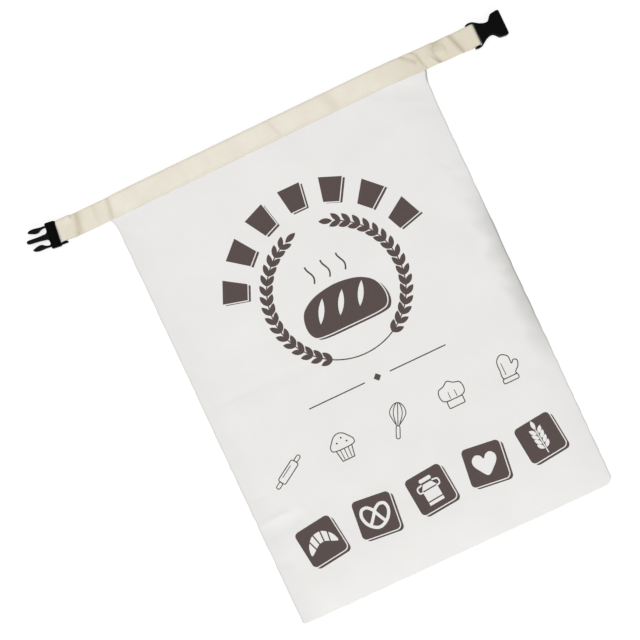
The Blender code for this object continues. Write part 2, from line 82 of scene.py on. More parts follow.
# Folds of the front panel: x0, y0, x1, y1, rise of the ridge (below 0 for a trough), half width.
broadFolds = (
    (-0.15, 0.0, -0.018, -0.005, -0.0004, 0.005),
    (-0.088, -0.18, -0.038, -0.13, 0.0007, 0.014),
    (-0.11, -0.172, -0.062, -0.118, -0.0004, 0.013),
    (-0.154, -0.124, -0.114, -0.1195, -0.0014, 0.0075),
    (0.096, 0.19, 0.144, 0.17, -0.0011, 0.0068),
    (0.104, 0.158, 0.134, 0.146, 0.0005, 0.01),
    (0.118, 0.06, 0.128, 0.01, -0.0004, 0.009),
    (0.122, -0.088, 0.14, -0.1, -0.0006, 0.007),
    (-0.03, 0.08, 0.06, 0.06, 0.0004, 0.03),
)
fineFolds = (
    (-0.152, -0.003, -0.01, -0.005, 0.00012, 0.0014),
    (-0.158, -0.1138, -0.122, -0.1112, 0.00085, 0.0026),
    (-0.158, -0.048, -0.144, -0.051, -0.0004, 0.004),
    (-0.158, -0.0895, -0.136, -0.0905, -0.0003, 0.003),
    (-0.158, -0.15, -0.136, -0.153, -0.0005, 0.0048),
    (-0.158, -0.178, -0.145, -0.18, -0.00045, 0.0042),
    (-0.14, -0.139, -0.112, -0.145, 0.0002, 0.005),
    (0.15, 0.11, 0.128, 0.104, -0.00055, 0.006),
    (0.15, 0.086, 0.132, 0.09, -0.0006, 0.0048),
    (0.15, 0.066, 0.134, 0.069, -0.00045, 0.004),
    (0.15, 0.053, 0.13, 0.048, -0.0006, 0.005),
    (0.15, 0.022, 0.13, 0.02, -0.0007, 0.0056),
    (0.15, -0.003, 0.134, 0.002, -0.0005, 0.004),
    (0.15, -0.017, 0.131, -0.015, -0.0006, 0.0048),
    (0.15, -0.04, 0.136, -0.037, -0.0004, 0.004),
    (0.15, -0.062, 0.126, -0.056, -0.0004, 0.007),
    (0.106, 0.185, 0.146, 0.169, 0.0002, 0.0034),
    (0.116, 0.188, 0.147, 0.177, -0.00025, 0.002),
    (0.126, 0.162, 0.148, 0.15, -0.0002, 0.003),
    (-0.153, 0.176, -0.136, 0.16, -0.00025, 0.003),
)
foldFade = 0.2  # share of a fold's length over which it fades out at each end


def between(rows, at, column=1):
    table = np.array(rows)
    return np.interp(at, table[:, 0], table[:, column])


def eased(share):
    return share * share * (3 - 2 * share)


def softNoise(x, y, size, seed, cells=97):
    # smooth bumps of about this size, from -1 to 1
    lattice = np.random.default_rng(seed).uniform(-1.0, 1.0, (cells, cells))
    across, up = np.asarray(x) / size + cells / 2, np.asarray(y) / size + cells / 2
    column, row = np.floor(across).astype(int), np.floor(up).astype(int)
    across, up = across - column, up - row
    across = across**3 * (across * (6 * across - 15) + 10)
    up = up**3 * (up * (6 * up - 15) + 10)

    def corner(i, j):
        return lattice[(column + i) % cells, (row + j) % cells]

    low = corner(0, 0) * (1 - across) + corner(1, 0) * across
    high = corner(0, 1) * (1 - across) + corner(1, 1) * across
    return low * (1 - up) + high * up


def foldSum(folds, x, y):
    total = np.zeros(np.broadcast(x, y).shape)
    for x0, y0, x1, y1, rise, halfWidth in folds:
        runX, runY = x1 - x0, y1 - y0
        along = ((x - x0) * runX + (y - y0) * runY) / (runX**2 + runY**2)
        offSquare = (x - x0 - runX * along) ** 2 + (y - y0 - runY * along) ** 2
        fade = np.clip(np.minimum(along, 1 - along) / foldFade + 0.5, 0, 1)
        total += rise * fade * fade * (3 - 2 * fade) * np.exp(-offSquare / halfWidth**2)
    return total


def leftEdge(y):
    return between(bag["leftEdge"], y)


def rightEdge(y):
    return between(bag["rightEdge"], y)


def bottomEdge(x):
    y = between(bag["bottomEdge"], x)
    ends = (x - bag["bottomEdge"][0][0], bag["bottomEdge"][-1][0] - x)
    for inward, radius in zip(ends, bag["cornerRadii"]):
        along = np.clip(radius - inward, 0.0, radius)
        y = y + radius - np.sqrt(np.maximum(radius**2 - along**2, 0.0))
    return y


def ramp(distance, width, steepness):
    return 1.0 - (1.0 - np.clip(distance / width, 0.0, 1.0)) ** steepness


def raisedShare(x, y):
    # 0 along the seams, 1 over the flat middle of the bag
    left = ramp(x - leftEdge(y), *bag["leftShoulder"])
    right = [between(bag["rightShoulder"], y, column) for column in (1, 2)]
    bottom = [between(bag["bottomShoulder"], x, column) for column in (1, 2)]
    return left * ramp(rightEdge(y) - x, *right) * ramp(y - bottomEdge(x), *bottom)


def frontTop(x, y):
    raised = raisedShare(x, y)
    reach, size = bag["foldBend"]
    bendX = x + reach * softNoise(x, y, size, 11)
    bendY = y + reach * softNoise(x, y, size, 12)
    folds = foldSum(broadFolds, x, y) + foldSum(fineFolds, bendX, bendY)
    uneven = sum(high * softNoise(x, y, size, seed) for high, size, seed in bag["bumps"])
    high, size = bag["seamBumps"]
    pucker = high * (1 - raised) ** 3 * softNoise(x * 0.6, y * 0.6, size, 5)
    kept = bag["foldsAtSeam"] + (1 - bag["foldsAtSeam"]) * raised
    return bag["seamTop"] + bag["loft"] * raised + (folds + uneven) * kept + pucker


def backUnder(x, y):
    toSeam = np.minimum(np.minimum(x - leftEdge(y), rightEdge(y) - x), y - bottomEdge(x))
    lift, width = bag["backLift"]
    return lift * (1.0 - ramp(toSeam, width, 2.0))


# The band: its middle line and half width along the mouth, and how its two tails lie.
band = {
    "middle": ((-0.21, 0.1953, 0.0083), (-0.195, 0.1953, 0.0084), (-0.189, 0.1959, 0.01),
               (-0.176, 0.196, 0.0101), (-0.153, 0.1957, 0.01), (-0.023, 0.1967, 0.0098),
               (0.109, 0.1979, 0.0095), (0.148, 0.1973, 0.0098), (0.18, 0.1969, 0.01),
               (0.194, 0.1966, 0.01), (0.1985, 0.1965, 0.0098), (0.21, 0.1965, 0.0098)),
    "thickness": 0.00115,
    "overCloth": 0.00005,
    "overFloor": 0.00003,
    "leftTail": ((0.005, 0.0036), (0.011, 0.0024), (0.017, 0.0015), (0.0235, 0.0012),
                 (0.0262, 0.0014), (0.029, 0.0026), (0.034, 0.0028), (0.0385, 0.0047)),
    "rightTail": ((0.004, 0.0046), (0.0066, 0.0051), (0.009, 0.0038), (0.0118, 0.0016),
                  (0.018, 0.0011), (0.026, 0.0022), (0.03, 0.0033), (0.0345, 0.0024),
                  (0.039, 0.0027), (0.0445, 0.0047)),
    "leans": ((0.16, 0.012, 0.45, -0.55), (0.184, 0.01, -0.32, -0.42)),
    "leftBar": (-0.19902, 0.19532),
    "rightBar": (0.2018, 0.1963),
    "leftSlant": math.tan(math.radians(7.0)),  # the left end slants with its buckle half
    "slantFrom": (0.017, 0.01),
    "barHeight": 0.0039,
    "loopRadius": 0.0015 + 0.00035 + 0.0006,
    "doubled": 0.0145,
    "settling": 0.4,  # share of the doubled end over which it comes down to the floor
    "slopeReach": 0.006,  # how far past the bag's edge a tail keeps the slope of the cloth
    "step": 0.0013,
    "folds": ((0.1592, 0.1972, 0.1668, 0.1858, -0.0011, 0.0012),
              (0.159, 0.1982, 0.1735, 0.1972, 0.0027, 0.0047),
              (0.1712, 0.211, 0.1628, 0.194, -0.0011, 0.0042),
              (0.182, 0.208, 0.189, 0.187, -0.0009, 0.0022),
              (0.152, 0.208, 0.156, 0.185, 0.0002, 0.003),
              (-0.179, 0.212, -0.1862, 0.186, -0.0008, 0.0034),
              (-0.165, 0.208, -0.168, 0.186, -0.0003, 0.0028),
              (-0.1842, 0.1895, -0.1885, 0.186, -0.0005, 0.001),
              (-0.17, 0.208, -0.169, 0.185, 0.0003, 0.003)),
    "bagFolds": ((0.1425, 0.21, 0.147, 0.2042, -0.0008, 0.0012),
                 (0.1478, 0.2045, 0.153, 0.186, -0.001, 0.0012),
                 (0.134, 0.2075, 0.146, 0.1966, -0.0009, 0.0015),
                 (-0.1494, 0.212, -0.154, 0.185, -0.0007, 0.0024),
                 (0.004, 0.209, 0.012, 0.186, -0.0003, 0.0018),
                 (0.06, 0.209, 0.065, 0.187, -0.0003, 0.005)),
    "overArm": {  # where its upper edge lies over the plug's upper arm
        "left": (-0.2012, 0.0006),  # x, and how long it takes to get there
        "right": (-0.19, 0.004),
        "top": 0.00625,
        "edgeY": 0.2063,
        "unmoved": 0.45,  # share of the half width that stays where it is
        "steepness": 1.6,
        "fromHeight": 1.15,  # of the bar's height, round the loop
    },
    "fullShadeBelow": 0.001,  # depth of a fold whose painted shade is full
    "rumple": (0.00022, 0.007),  # height and size of the band's own unevenness
    "edgeRumple": (0.00016, 0.0034, 0.0104),  # and along its edges, this far from its middle
}
widthShares = np.array([-1, -0.985, -0.95, -0.89, -0.82, -0.7, -0.5, -0.25,
                        0, 0.25, 0.5, 0.7, 0.82, 0.89, 0.95, 0.985, 1])


def bandMiddle(x):
    return between(band["middle"], x)


def mouthEdge(x):
    return between(bag["mouthEdge"], x)


def smoothRows(rows, start, end, steps):
    knots = [start, *rows, end]
    points = []
    for i in range(len(knots) - 1):
        before, a, b = knots[max(i - 1, 0)], knots[i], knots[i + 1]
        after = knots[min(i + 2, len(knots) - 1)]
        for step in range(steps):
            t = step / steps
            z = ((2 * t**3 - 3 * t**2 + 1) * a[1] + (t**3 - 2 * t**2 + t) * (b[1] - before[1]) / 2
                 + (3 * t**2 - 2 * t**3) * b[1] + (t**3 - t**2) * (after[1] - a[1]) / 2)
            points.append((a[0] + (b[0] - a[0]) * t, z))
    return points


def onBand(x, y):
    return frontTop(x, y) + band["overCloth"] + band["thickness"] / 2


def tailPath(rows, edge, bar, out):
    # x, z and whether the tail's own folds reach it, from the bag's edge round the bar and back
    turn, mid = band["loopRadius"], band["barHeight"]
    start = (0.0, float(onBand(edge, bandMiddle(edge))))
    knots = smoothRows(rows, start, (abs(bar - edge), mid + turn), 6)
    path = [(edge + out * reach, z, 1.0) for reach, z in knots]
    for angle in np.linspace(math.pi / 2, -math.pi / 2, 19):
        path.append((bar + out * turn * math.cos(angle), mid + turn * math.sin(angle), 0.0))
    under, floor = mid - turn, band["thickness"] / 2 + band["overFloor"]
    for share in np.linspace(0.06, 1.0, 16):
        settle = eased(min(share / band["settling"], 1.0))
        path.append((bar - out * band["doubled"] * share, under + (floor - under) * settle, 0.0))
    return path


def bandSurface():
    # points on the band's middle surface, one row for each station along it, how far each is from
    # the middle line, and how much painted shade its folds get
    leftBar, rightBar = band["leftBar"][0], band["rightBar"][0]
    left, right = float(leftEdge(band["leftBar"][1])), float(rightEdge(band["rightBar"][1]))
    leftTail = tailPath(band["leftTail"], left, leftBar, -1.0)
    rightTail = tailPath(band["rightTail"], right, rightBar, 1.0)
    count = round((right - left) / band["step"])
    across = [(left + (right - left) * i / count, math.nan, 0.0) for i in range(1, count)]
    path = np.array(leftTail[::-1] + across + rightTail)
    x = np.repeat(path[:, :1], len(widthShares), 1)
    w = widthShares * between(band["middle"], x, 2)
    y = bandMiddle(x) + w
    onBag = np.isnan(path[:, 1])
    z = np.where(onBag[:, None], onBand(x, y), path[:, 1:2])
    edge = np.where(x < 0, left, right)
    near = np.clip(1 - np.abs(x - edge) / band["slopeReach"], 0, 1)
    slant = near * (onBand(edge, y) - onBand(edge, bandMiddle(edge)))
    free = path[:, 2:3]
    for middle, span, above, below in band["leans"]:
        share = np.clip(1 - np.abs(path[:, :1] - middle) / span, 0, 1)
        x = x + free * eased(share) * np.where(w > 0, above, below) * w
    loose = np.where(onBag[:, None], 1.0, free)
    creases = free * foldSum(band["folds"], x, y) + loose * foldSum(band["bagFolds"], x, y)
    z = z + np.where(onBag[:, None], 0.0, slant) + creases
    high, size = band["rumple"]
    z = z + loose * high * softNoise(x * 0.8, y * 0.5, size, 21)
    high, size, halfWidth = band["edgeRumple"]
    z = z + loose * high * (w / halfWidth) ** 2 * softNoise(x, y * 0.15, size, 22)
    arm = band["overArm"]
    (fromX, fromSoft), (toX, toSoft) = arm["left"], arm["right"]
    lapped = np.clip((x - fromX + fromSoft) / fromSoft, 0, 1)
    lapped = eased(lapped * np.clip((toX + toSoft - x) / toSoft, 0, 1))
    lapped = lapped * np.maximum(free, path[:, 1:2] > band["barHeight"] * arm["fromHeight"])
    widest = np.max(w, axis=1, keepdims=True)
    outward = np.clip((w / widest - arm["unmoved"]) / (1 - arm["unmoved"]), 0, 1)
    y = y + lapped * outward * np.maximum(arm["edgeY"] - bandMiddle(x) - widest, 0)
    z = z + lapped * np.clip(outward * arm["steepness"], 0, 1) * np.maximum(arm["top"] - z, 0)
    slantStart, slantOver = band["slantFrom"]
    slanted = np.where(x < 0, np.clip((slantStart - x + leftBar) / slantOver, 0, 1), 0.0)
    x = x + slanted * (y - band["leftBar"][1]) * band["leftSlant"]
    z = np.maximum(z, band["thickness"] / 2 + band["overFloor"])
    return np.stack([x, y, z], 2), w, np.clip(-creases / band["fullShadeBelow"], 0, 1)


def gridNormals(points):
    along, across = np.gradient(points, axis=0), np.gradient(points, axis=1)
    normal = np.cross(along, across)
    return normal / np.linalg.norm(normal, axis=2, keepdims=True)


def gridFaces(rows, columns):
    first = (np.arange(rows - 1)[:, None] * columns + np.arange(columns - 1)).ravel()
    return np.stack([first, first + columns, first + columns + 1, first + 1], 1)


def addObject(name, data):
    made = bpy.data.objects.new(name, data)
    bpy.context.scene.collection.objects.link(made)
    return made


def closedSheet(name, outer, inner, faces, flatPlaces, outerNormals=None, marks=None):
    # one closed mesh: an outer and an inner surface with the same faces, joined along their edges;
    # marks are 1 for each outer face that is printed
    count, size = len(outer), faces.shape[1]
    starts, ends = faces.ravel(), np.roll(faces, -1, 1).ravel()
    directed = {(int(a), int(b)) for a, b in zip(starts, ends)}
    rim = [(b, a, a + count, b + count) for a, b in directed if (b, a) not in directed]
    rim.sort()
    everyFace = faces.tolist() + (faces[:, ::-1] + count).tolist() + [list(f) for f in rim]
    mesh = bpy.data.meshes.new(name)
    mesh.from_pydata(np.concatenate([outer, inner]).tolist(), [], everyFace)
    mesh.shade_smooth()
    uv = mesh.uv_layers.new(name="clothFlat")
    corners = np.empty(len(mesh.loops), int)
    mesh.loops.foreach_get("vertex_index", corners)
    uv.data.foreach_set("uv", np.asarray(flatPlaces, np.float32)[corners % count].ravel())
    if marks is not None:
        marked = np.zeros(len(mesh.polygons), np.float32)
        marked[: len(marks)] = marks
        mesh.attributes.new("marked", "FLOAT", "FACE").data.foreach_set("value", marked)
    if outerNormals is not None:
        normals = np.zeros((len(corners), 3), np.float32)
        outerCorners = len(faces) * size
        normals[:outerCorners] = outerNormals[corners[:outerCorners]]
        mesh.normals_split_custom_set(normals.tolist())
    return addObject(name, mesh)


# The print: brown shapes in millimetres from their own middle, each with whether it is ink or bare
# cloth, later ones over earlier ones.
def turned(shapes, degrees=0.0, at=(0.0, 0.0), scale=1.0):
    angle = math.radians(degrees)
    turn = np.array([[math.cos(angle), math.sin(angle)], [-math.sin(angle), math.cos(angle)]])
    return [(points @ turn * scale + at, inked) for points, inked in shapes]


def mirrored(half):
    # a path from the left to the middle, and back down on the right
    return half + [(-x, y) for x, y in half[-2::-1]]


def berry(halfWidth, halfHeight, at):
    angles = np.linspace(0, 2 * math.pi, 10, endpoint=False)
    return [(np.stack([halfWidth * np.cos(angles), halfHeight * np.sin(angles)], 1) + at, True)]


def throughPoints(points, closed=True, steps=5):
    points = np.array(points, float)
    if not closed:
        first, last = 2 * points[:1] - points[1:2], 2 * points[-1:] - points[-2:-1]
        points = np.concatenate([first, points, last])
    count = len(points)
    made = []
    for i in range(count) if closed else range(1, count - 2):
        a, b, c, d = (points[(i + k) % count] for k in (-1, 0, 1, 2))
        for t in np.arange(steps) / steps:
            made.append(0.5 * (2 * b + (c - a) * t + (2 * a - 5 * b + 4 * c - d) * t**2
                               + (3 * b - a - 3 * c + d) * t**3))
    if not closed:
        made.append(points[-2])
    return np.array(made)


def grown(points, distance):
    back, ahead = points - np.roll(points, 1, 0), np.roll(points, -1, 0) - points
    back /= np.linalg.norm(back, axis=1, keepdims=True)
    ahead /= np.linalg.norm(ahead, axis=1, keepdims=True)
    out = np.stack([back[:, 1] + ahead[:, 1], -back[:, 0] - ahead[:, 0]], 1)
    out /= np.maximum((out**2).sum(1, keepdims=True) / 2, 0.35)
    return points + out * distance


def outlined(points, width=0.95):
    return [(grown(points, width / 2), True), (grown(points, -width / 2), False)]


def strokeLine(points, width, inked=True):
    points = np.array(points, float)
    along = np.gradient(points, axis=0)
    along /= np.linalg.norm(along, axis=1, keepdims=True)
    side = np.stack([-along[:, 1], along[:, 0]], 1) * width / 2
    return [(np.concatenate([points - side, (points + side)[::-1]]), inked)]


def leafShape(length, width, count=7):
    share = np.linspace(0, 1, count)
    bulge = width / 2 * np.sin(math.pi * share) ** 0.8
    upper = np.stack([share * length, bulge], 1)[1:-1]
    return np.concatenate([[[0, 0]], upper * (1, -1), [[length, 0]], upper[::-1]])


def wheatEar(pairs=4, grain=8.2, width=3.3):
    # grows along +X from 0, and is then stood up
    shapes = strokeLine([(-grain * 0.5, 0), (pairs * grain * 0.52, 0)], 0.9, False)
    for i in range(pairs):
        for side in (1, -1):
            place = (i * grain * 0.52 + 0.4, side * 0.9)
            shapes += turned([(leafShape(grain * 0.86, width), False)], 38 * side, place)
    shapes += turned([(leafShape(grain, width), False)], 0, (pairs * grain * 0.52, 0))
    return turned(shapes, 90, (0, -9.6))


def roundedBox(width, height, radius, steps=5):
    made = []
    for cx, cy, start in ((1, 1, 0), (-1, 1, 90), (-1, -1, 180), (1, -1, 270)):
        centre = np.array([cx * (width / 2 - radius), cy * (height / 2 - radius)])
        for angle in np.radians(np.linspace(start, start + 90, steps)):
            made.append(centre + radius * np.array([math.cos(angle), math.sin(angle)]))
    return np.array(made)


def withShadow(points, shift, gap):
    # the bold shape, with a thin second edge down and to its right
    return [(points + shift, True), (grown(points, gap), False), (points, True)]


def wreath(radius):
    shapes = []
    for side in (1, -1):
        for degrees in np.arange(-62, 66, 8.2):
            angle = math.radians(degrees)
            at = np.array([radius * math.cos(angle) * side, radius * math.sin(angle)])
            heading = 90 + degrees if side > 0 else 90 - degrees
            for lean in (30, -30):
                shapes += turned([(leafShape(11.5, 5.0), True)], heading + lean, at)
        tip = math.radians(68)
        shapes += turned([(leafShape(12.5, 5.2), True)], 90 + 70 * side,
                         (radius * math.cos(tip) * side, radius * math.sin(tip)))
        stem = np.radians(np.linspace(-100, 66, 60))
        stem = np.stack([side * radius * np.cos(stem), radius * np.sin(stem)], 1)
        shapes += strokeLine(stem, 1.1)
    return shapes


def loafShape():
    outline = throughPoints([(-36, -14), (-38, -4), (-34, 8), (-22, 16), (-6, 19.5), (8, 19.5), (23, 16),
                             (34, 8), (38, -4), (36, -14), (28, -18), (0, -18.5), (-28, -18)])
    shapes = withShadow(outline[::-1], (2.6, -2.8), 1.0)
    for x in (-20, -1, 18):
        shapes += turned([(leafShape(23, 5.2), False)], 62, (x - 5.2, -7.5))
    return shapes


def steamShape():
    wave = np.array([(1.8 * math.sin(y / 3.4), y) for y in np.linspace(0, 17, 14)])
    return [s for x in (-15, 0, 15) for s in strokeLine(wave + (x, 0), 1.5)]


def sunRay(inner, outer, halfAngle):
    low, high = math.radians(90 - halfAngle), math.radians(90 + halfAngle)
    return np.array([(inner * math.cos(low) * 0.96, inner * math.sin(low)),
                     (outer * math.cos(low) * 1.12, outer * math.sin(low)),
                     (outer * math.cos(high) * 1.12, outer * math.sin(high)),
                     (inner * math.cos(high) * 0.96, inner * math.sin(high))])


def rollingPin():
    shapes = []
    for side in (1, -1):
        shapes += outlined(roundedBox(6.5, 3.4, 1.6) + (side * 14.2, 0), 0.9)
    shapes += outlined(roundedBox(22, 7.4, 1.8))
    return shapes + strokeLine([(-7, 1.5), (6, 1.5)], 0.7)


def whisk():
    shapes = outlined(roundedBox(3.4, 11.5, 1.6) + (0, -10.5), 0.9)
    for half in (7.0, 3.9):
        loop = mirrored([(-1.2, -4.6), (-half, 5.5), (-half * 0.7, 12.6), (0, 15.6)])
        shapes += strokeLine(throughPoints(loop, closed=False), 0.85)
    return shapes + strokeLine([(0, -4.6), (0, 15.4)], 0.85)


def muffin():
    cup = np.array([(-7.6, -1.0), (-5.6, -12.0), (5.6, -12.0), (7.6, -1.0)])
    top = mirrored([(-9.6, -1.2), (-11.0, 2.6), (-8.4, 6.4), (-4.6, 10.6), (0, 12.2)]) + [(0, -2.0)]
    shapes = outlined(cup)
    shapes += [s for x in (-3.3, 0, 3.3) for s in strokeLine([(x * 1.15, -2), (x, -11.2)], 0.75)]
    shapes += outlined(throughPoints(top)[::-1])
    return shapes + [s for at in ((-4, 4.4), (1.2, 7.6), (4.8, 3.2)) for s in berry(0.95, 0.8, at)]


def ovenMitt():
    hand = throughPoints([(-6.4, -7.0), (-6.8, 1.0), (-6.0, 9.4), (-0.8, 13.4), (4.8, 9.8), (5.2, 3.0),
                          (8.0, 5.2), (10.8, 3.4), (9.6, -1.2), (5.6, -5.0), (4.8, -7.0)])[::-1]
    shapes = outlined(hand) + outlined(roundedBox(14.4, 4.2, 1.2) + (-0.8, -9.4))
    return shapes + strokeLine([(-3.4, -4.5), (-3.4, 6.6)], 0.7)


def bakersHat():
    crown = mirrored([(-7.4, -3.5), (-11.4, 0.8), (-10.2, 7.6), (-4.8, 9.6), (0, 12.6)])
    shapes = outlined(throughPoints(crown)[::-1])
    shapes += outlined(roundedBox(14.8, 6.6, 0.9) + (0, -7.2))
    return shapes + [s for x in (-3.2, 3.2) for s in strokeLine([(x, -2.6), (x * 0.9, 3.4)], 0.7)]


def pretzel():
    bow = mirrored([(-5.0, 8.6), (-9.6, 7.6), (-11.4, 2.6), (-9.4, -3.6), (-5.0, -8.0), (0, -9.8)])
    shapes = strokeLine(throughPoints(bow, closed=False), 2.6, False)
    for side in (1, -1):
        arm = [(5.2, 8.6), (1.2, 5.4), (-1.8, 0.4), (-5.4, -5.2), (-7.6, -7.4)]
        shapes += strokeLine(throughPoints(arm, closed=False) * (side, 1), 2.5, False)
    return shapes


def croissant():
    outline = mirrored([(-12.6, -6.4), (-11.0, 0.6), (-5.4, 6.6), (0, 7.8)])
    outline += [(8.2, -4.6), (3.6, -1.8), (0, -1.2), (-3.6, -1.8), (-8.2, -4.6)]
    shapes = [(throughPoints(outline)[::-1], False)]
    for x0, y0, x1, y1 in ((-8.6, 4.6, -6.4, -4.4), (-3.4, 8.0, -2.0, -2.4), (3.4, 8.0, 2.0, -2.4),
                           (8.6, 4.6, 6.4, -4.4)):
        shapes += strokeLine([(x0, y0), (x1, y1)], 1.15)
    return shapes


def milkChurn():
    body = np.array([(-6.6, -11.6), (6.6, -11.6), (6.6, 2.0), (3.6, 6.4), (-3.6, 6.4), (-6.6, 2.0)])
    shapes = [(body, False), (roundedBox(10.6, 3.2, 1.2) + (0, 9.6), False)]
    shapes += [s for y in (-8.4, 1.2) for s in strokeLine([(-6.8, y), (6.8, y)], 1.1)]
    for side in (1, -1):
        handle = throughPoints([(6.0, 0.6), (9.2, 1.4), (9.2, 5.4), (4.6, 6.6)], closed=False)
        shapes += strokeLine(handle * (side, 1), 1.3, False)
    return shapes


def heart():
    half = [(0, -9.6), (5.8, -4.4), (9.6, 0.8), (9.8, 5.4), (6.4, 8.6), (2.4, 7.6), (0, 4.4)]
    return [(throughPoints(mirrored(half)[:-1]), False)]


printLayout = {
    "middle": -3.0,  # x of the emblem, in millimetres
    "emblemHeight": 46.0,
    "wreathRadius": 61.0,
    "loafBelow": 14.0,
    "steamAbove": 13.0,
    "rays": (78.0, 100.0, 5.4, (-66, -44, -22, 0, 22, 44, 66)),
    "rule": (-38.0, 12.0, 66.0),  # its y, and where each half starts and ends beside the middle
    "spacing": 53.0,
    "iconRow": (-80.0, (rollingPin, muffin, whisk, bakersHat, ovenMitt), (32, 0, -24, 0, 0)),
    "tileRow": (-147.0, (croissant, pretzel, milkChurn, heart, wheatEar), (7, -6, 5, -7, 6)),
    "tile": (35.0, 4.0),
}


def printShapes():
    lay = printLayout
    middle, height = lay["middle"], lay["emblemHeight"]
    inner, outer, halfAngle, angles = lay["rays"]
    shapes = turned(wreath(lay["wreathRadius"]), 0, (middle, height))
    for degrees in angles:
        ray = turned([(sunRay(inner, outer, halfAngle), True)], -degrees, (middle, height))
        shapes += withShadow(ray[0][0], (2.0, -2.2), 0.9)
    shapes += turned(loafShape(), 0, (middle, height - lay["loafBelow"]))
    shapes += turned(steamShape(), 0, (middle, height + lay["steamAbove"]))
    ruleY, ruleStart, ruleEnd = lay["rule"]
    for side in (1, -1):
        ends = [(middle + side * ruleStart, ruleY), (middle + side * ruleEnd, ruleY)]
        shapes += strokeLine(ends, 1.1)
    shapes += turned([(roundedBox(5.2, 5.2, 0.6), True)], 45, (middle, ruleY))
    columns = middle + lay["spacing"] * np.arange(-2, 3)
    rowHeight, motifs, leans = lay["iconRow"]
    for x, motif, lean in zip(columns, motifs, leans):
        shapes += turned(motif(), lean, (x, rowHeight))
    rowHeight, motifs, leans = lay["tileRow"]
    size, radius = lay["tile"]
    for x, motif, lean in zip(columns, motifs, leans):
        tile = turned([(roundedBox(size, size, radius), True)], lean, (x, rowHeight))
        shapes += withShadow(tile[0][0], (2.4, -2.6), 0.95)
        shapes += turned(motif(), lean, (x, rowHeight), 1.08)
    return shapes


# The flat cloth inside the seams is larger than the outline by what the rolled edges take up.
spare = bag["rollRadius"] * math.pi / 2 - bag["rollRadius"]
flatWidth, flatLength = bag["width"] + 2 * spare, bag["length"] + spare


def inwardOf(flat):
    # distance from the outline, and drop below the panel's top, at a flat distance from the seam
    roll = bag["rollRadius"]
    angle = np.clip(flat / roll, 0, math.pi / 2)
    onRoll, pastRoll = roll * (1 - np.cos(angle)), flat - roll * math.pi / 2 + roll
    return np.where(flat < roll * math.pi / 2, onRoll, pastRoll), roll * (1 - np.sin(angle))


def onPanel(a, b, height, down):
    # the place of a point of the flat cloth; down is -1 for the back, whose edges roll up
    width, length = bag["width"], bag["length"]
    leftIn, leftDrop = inwardOf(a)
    rightIn, rightDrop = inwardOf(flatWidth - a)
    share = np.where(a < width / 2 + spare, leftIn / width, 1 - rightIn / width)
    upIn, bottomDrop = inwardOf(b)
    nearY = bag["lowestY"] + upIn
    x = leftEdge(nearY) * (1 - share) + rightEdge(nearY) * share
    y = bottomEdge(x) * (1 - upIn / length) + mouthEdge(x) * upIn / length
    z = height(x, y) - down * np.maximum(np.maximum(leftDrop, rightDrop), bottomDrop)
    reach, size, fade = bag["seamPucker"]
    wander = reach * softNoise(x * 0.8, y * 0.8, size, 7)
    x = x + wander * (np.exp(-leftIn / fade) + np.exp(-rightIn / fade))
    y = y + wander * np.exp(-upIn / fade)
    return np.stack([x, y, z], -1)


def flatOf(x, y):
    # the flat cloth's point under a point of the print
    share = (x - leftEdge(y)) / (rightEdge(y) - leftEdge(y))
    up = (y - bottomEdge(x)) / (mouthEdge(x) - bottomEdge(x)) * bag["length"]
    return share * bag["width"] + spare, up + spare


def gridLines(length, step, low, high):
    count = round((length - low[-1] - high[-1]) / step)
    middle = np.linspace(low[-1], length - high[-1], count + 1)
    return np.concatenate([low[:-1], middle, length - np.array(high[:-1])[::-1]])


seamLines = np.array([0, 0.35, 0.7, 1.05, 1.4, 1.8, 2.12, 2.8, 3.9, 5.4]) * mm
mouthLines = np.array([0, 0.12, 0.35, 0.8, 1.8]) * mm


def flatGrid(step):
    return (gridLines(flatWidth, step, seamLines, seamLines),
            gridLines(flatLength, step, seamLines, mouthLines))


def makePanel(name, height, down, aValues, bValues, faces, ink=None):
    def moved(a, b):
        return onPanel(aValues + a, bValues + b, height, down)

    nudge = 0.0002
    places = moved(0.0, 0.0)
    alongA, alongB = moved(nudge, 0.0) - moved(-nudge, 0.0), moved(0.0, nudge) - moved(0.0, -nudge)
    normals = np.cross(alongA, alongB) * down
    normals /= np.linalg.norm(normals, axis=1, keepdims=True)
    toMouth = flatLength - bValues
    toEdge = np.minimum(np.minimum(aValues, flatWidth - aValues), bValues)
    inHem = np.clip((bag["hemDepth"] - toMouth) / bag["clothThickness"], 0, 1)
    thickness = bag["clothThickness"] + bag["hemThickness"] * inHem
    for distance, soft in zip((toMouth, toEdge), bag["rimRounding"]):
        thickness = thickness * np.sqrt(1 - (1 - np.clip(distance / soft, 0.02, 1)) ** 2)
    inner = places - normals * thickness[:, None]
    if down < 0:
        faces = faces[:, ::-1]
    return closedSheet(name, places, inner, faces, np.stack([aValues, bValues], 1), normals, ink)


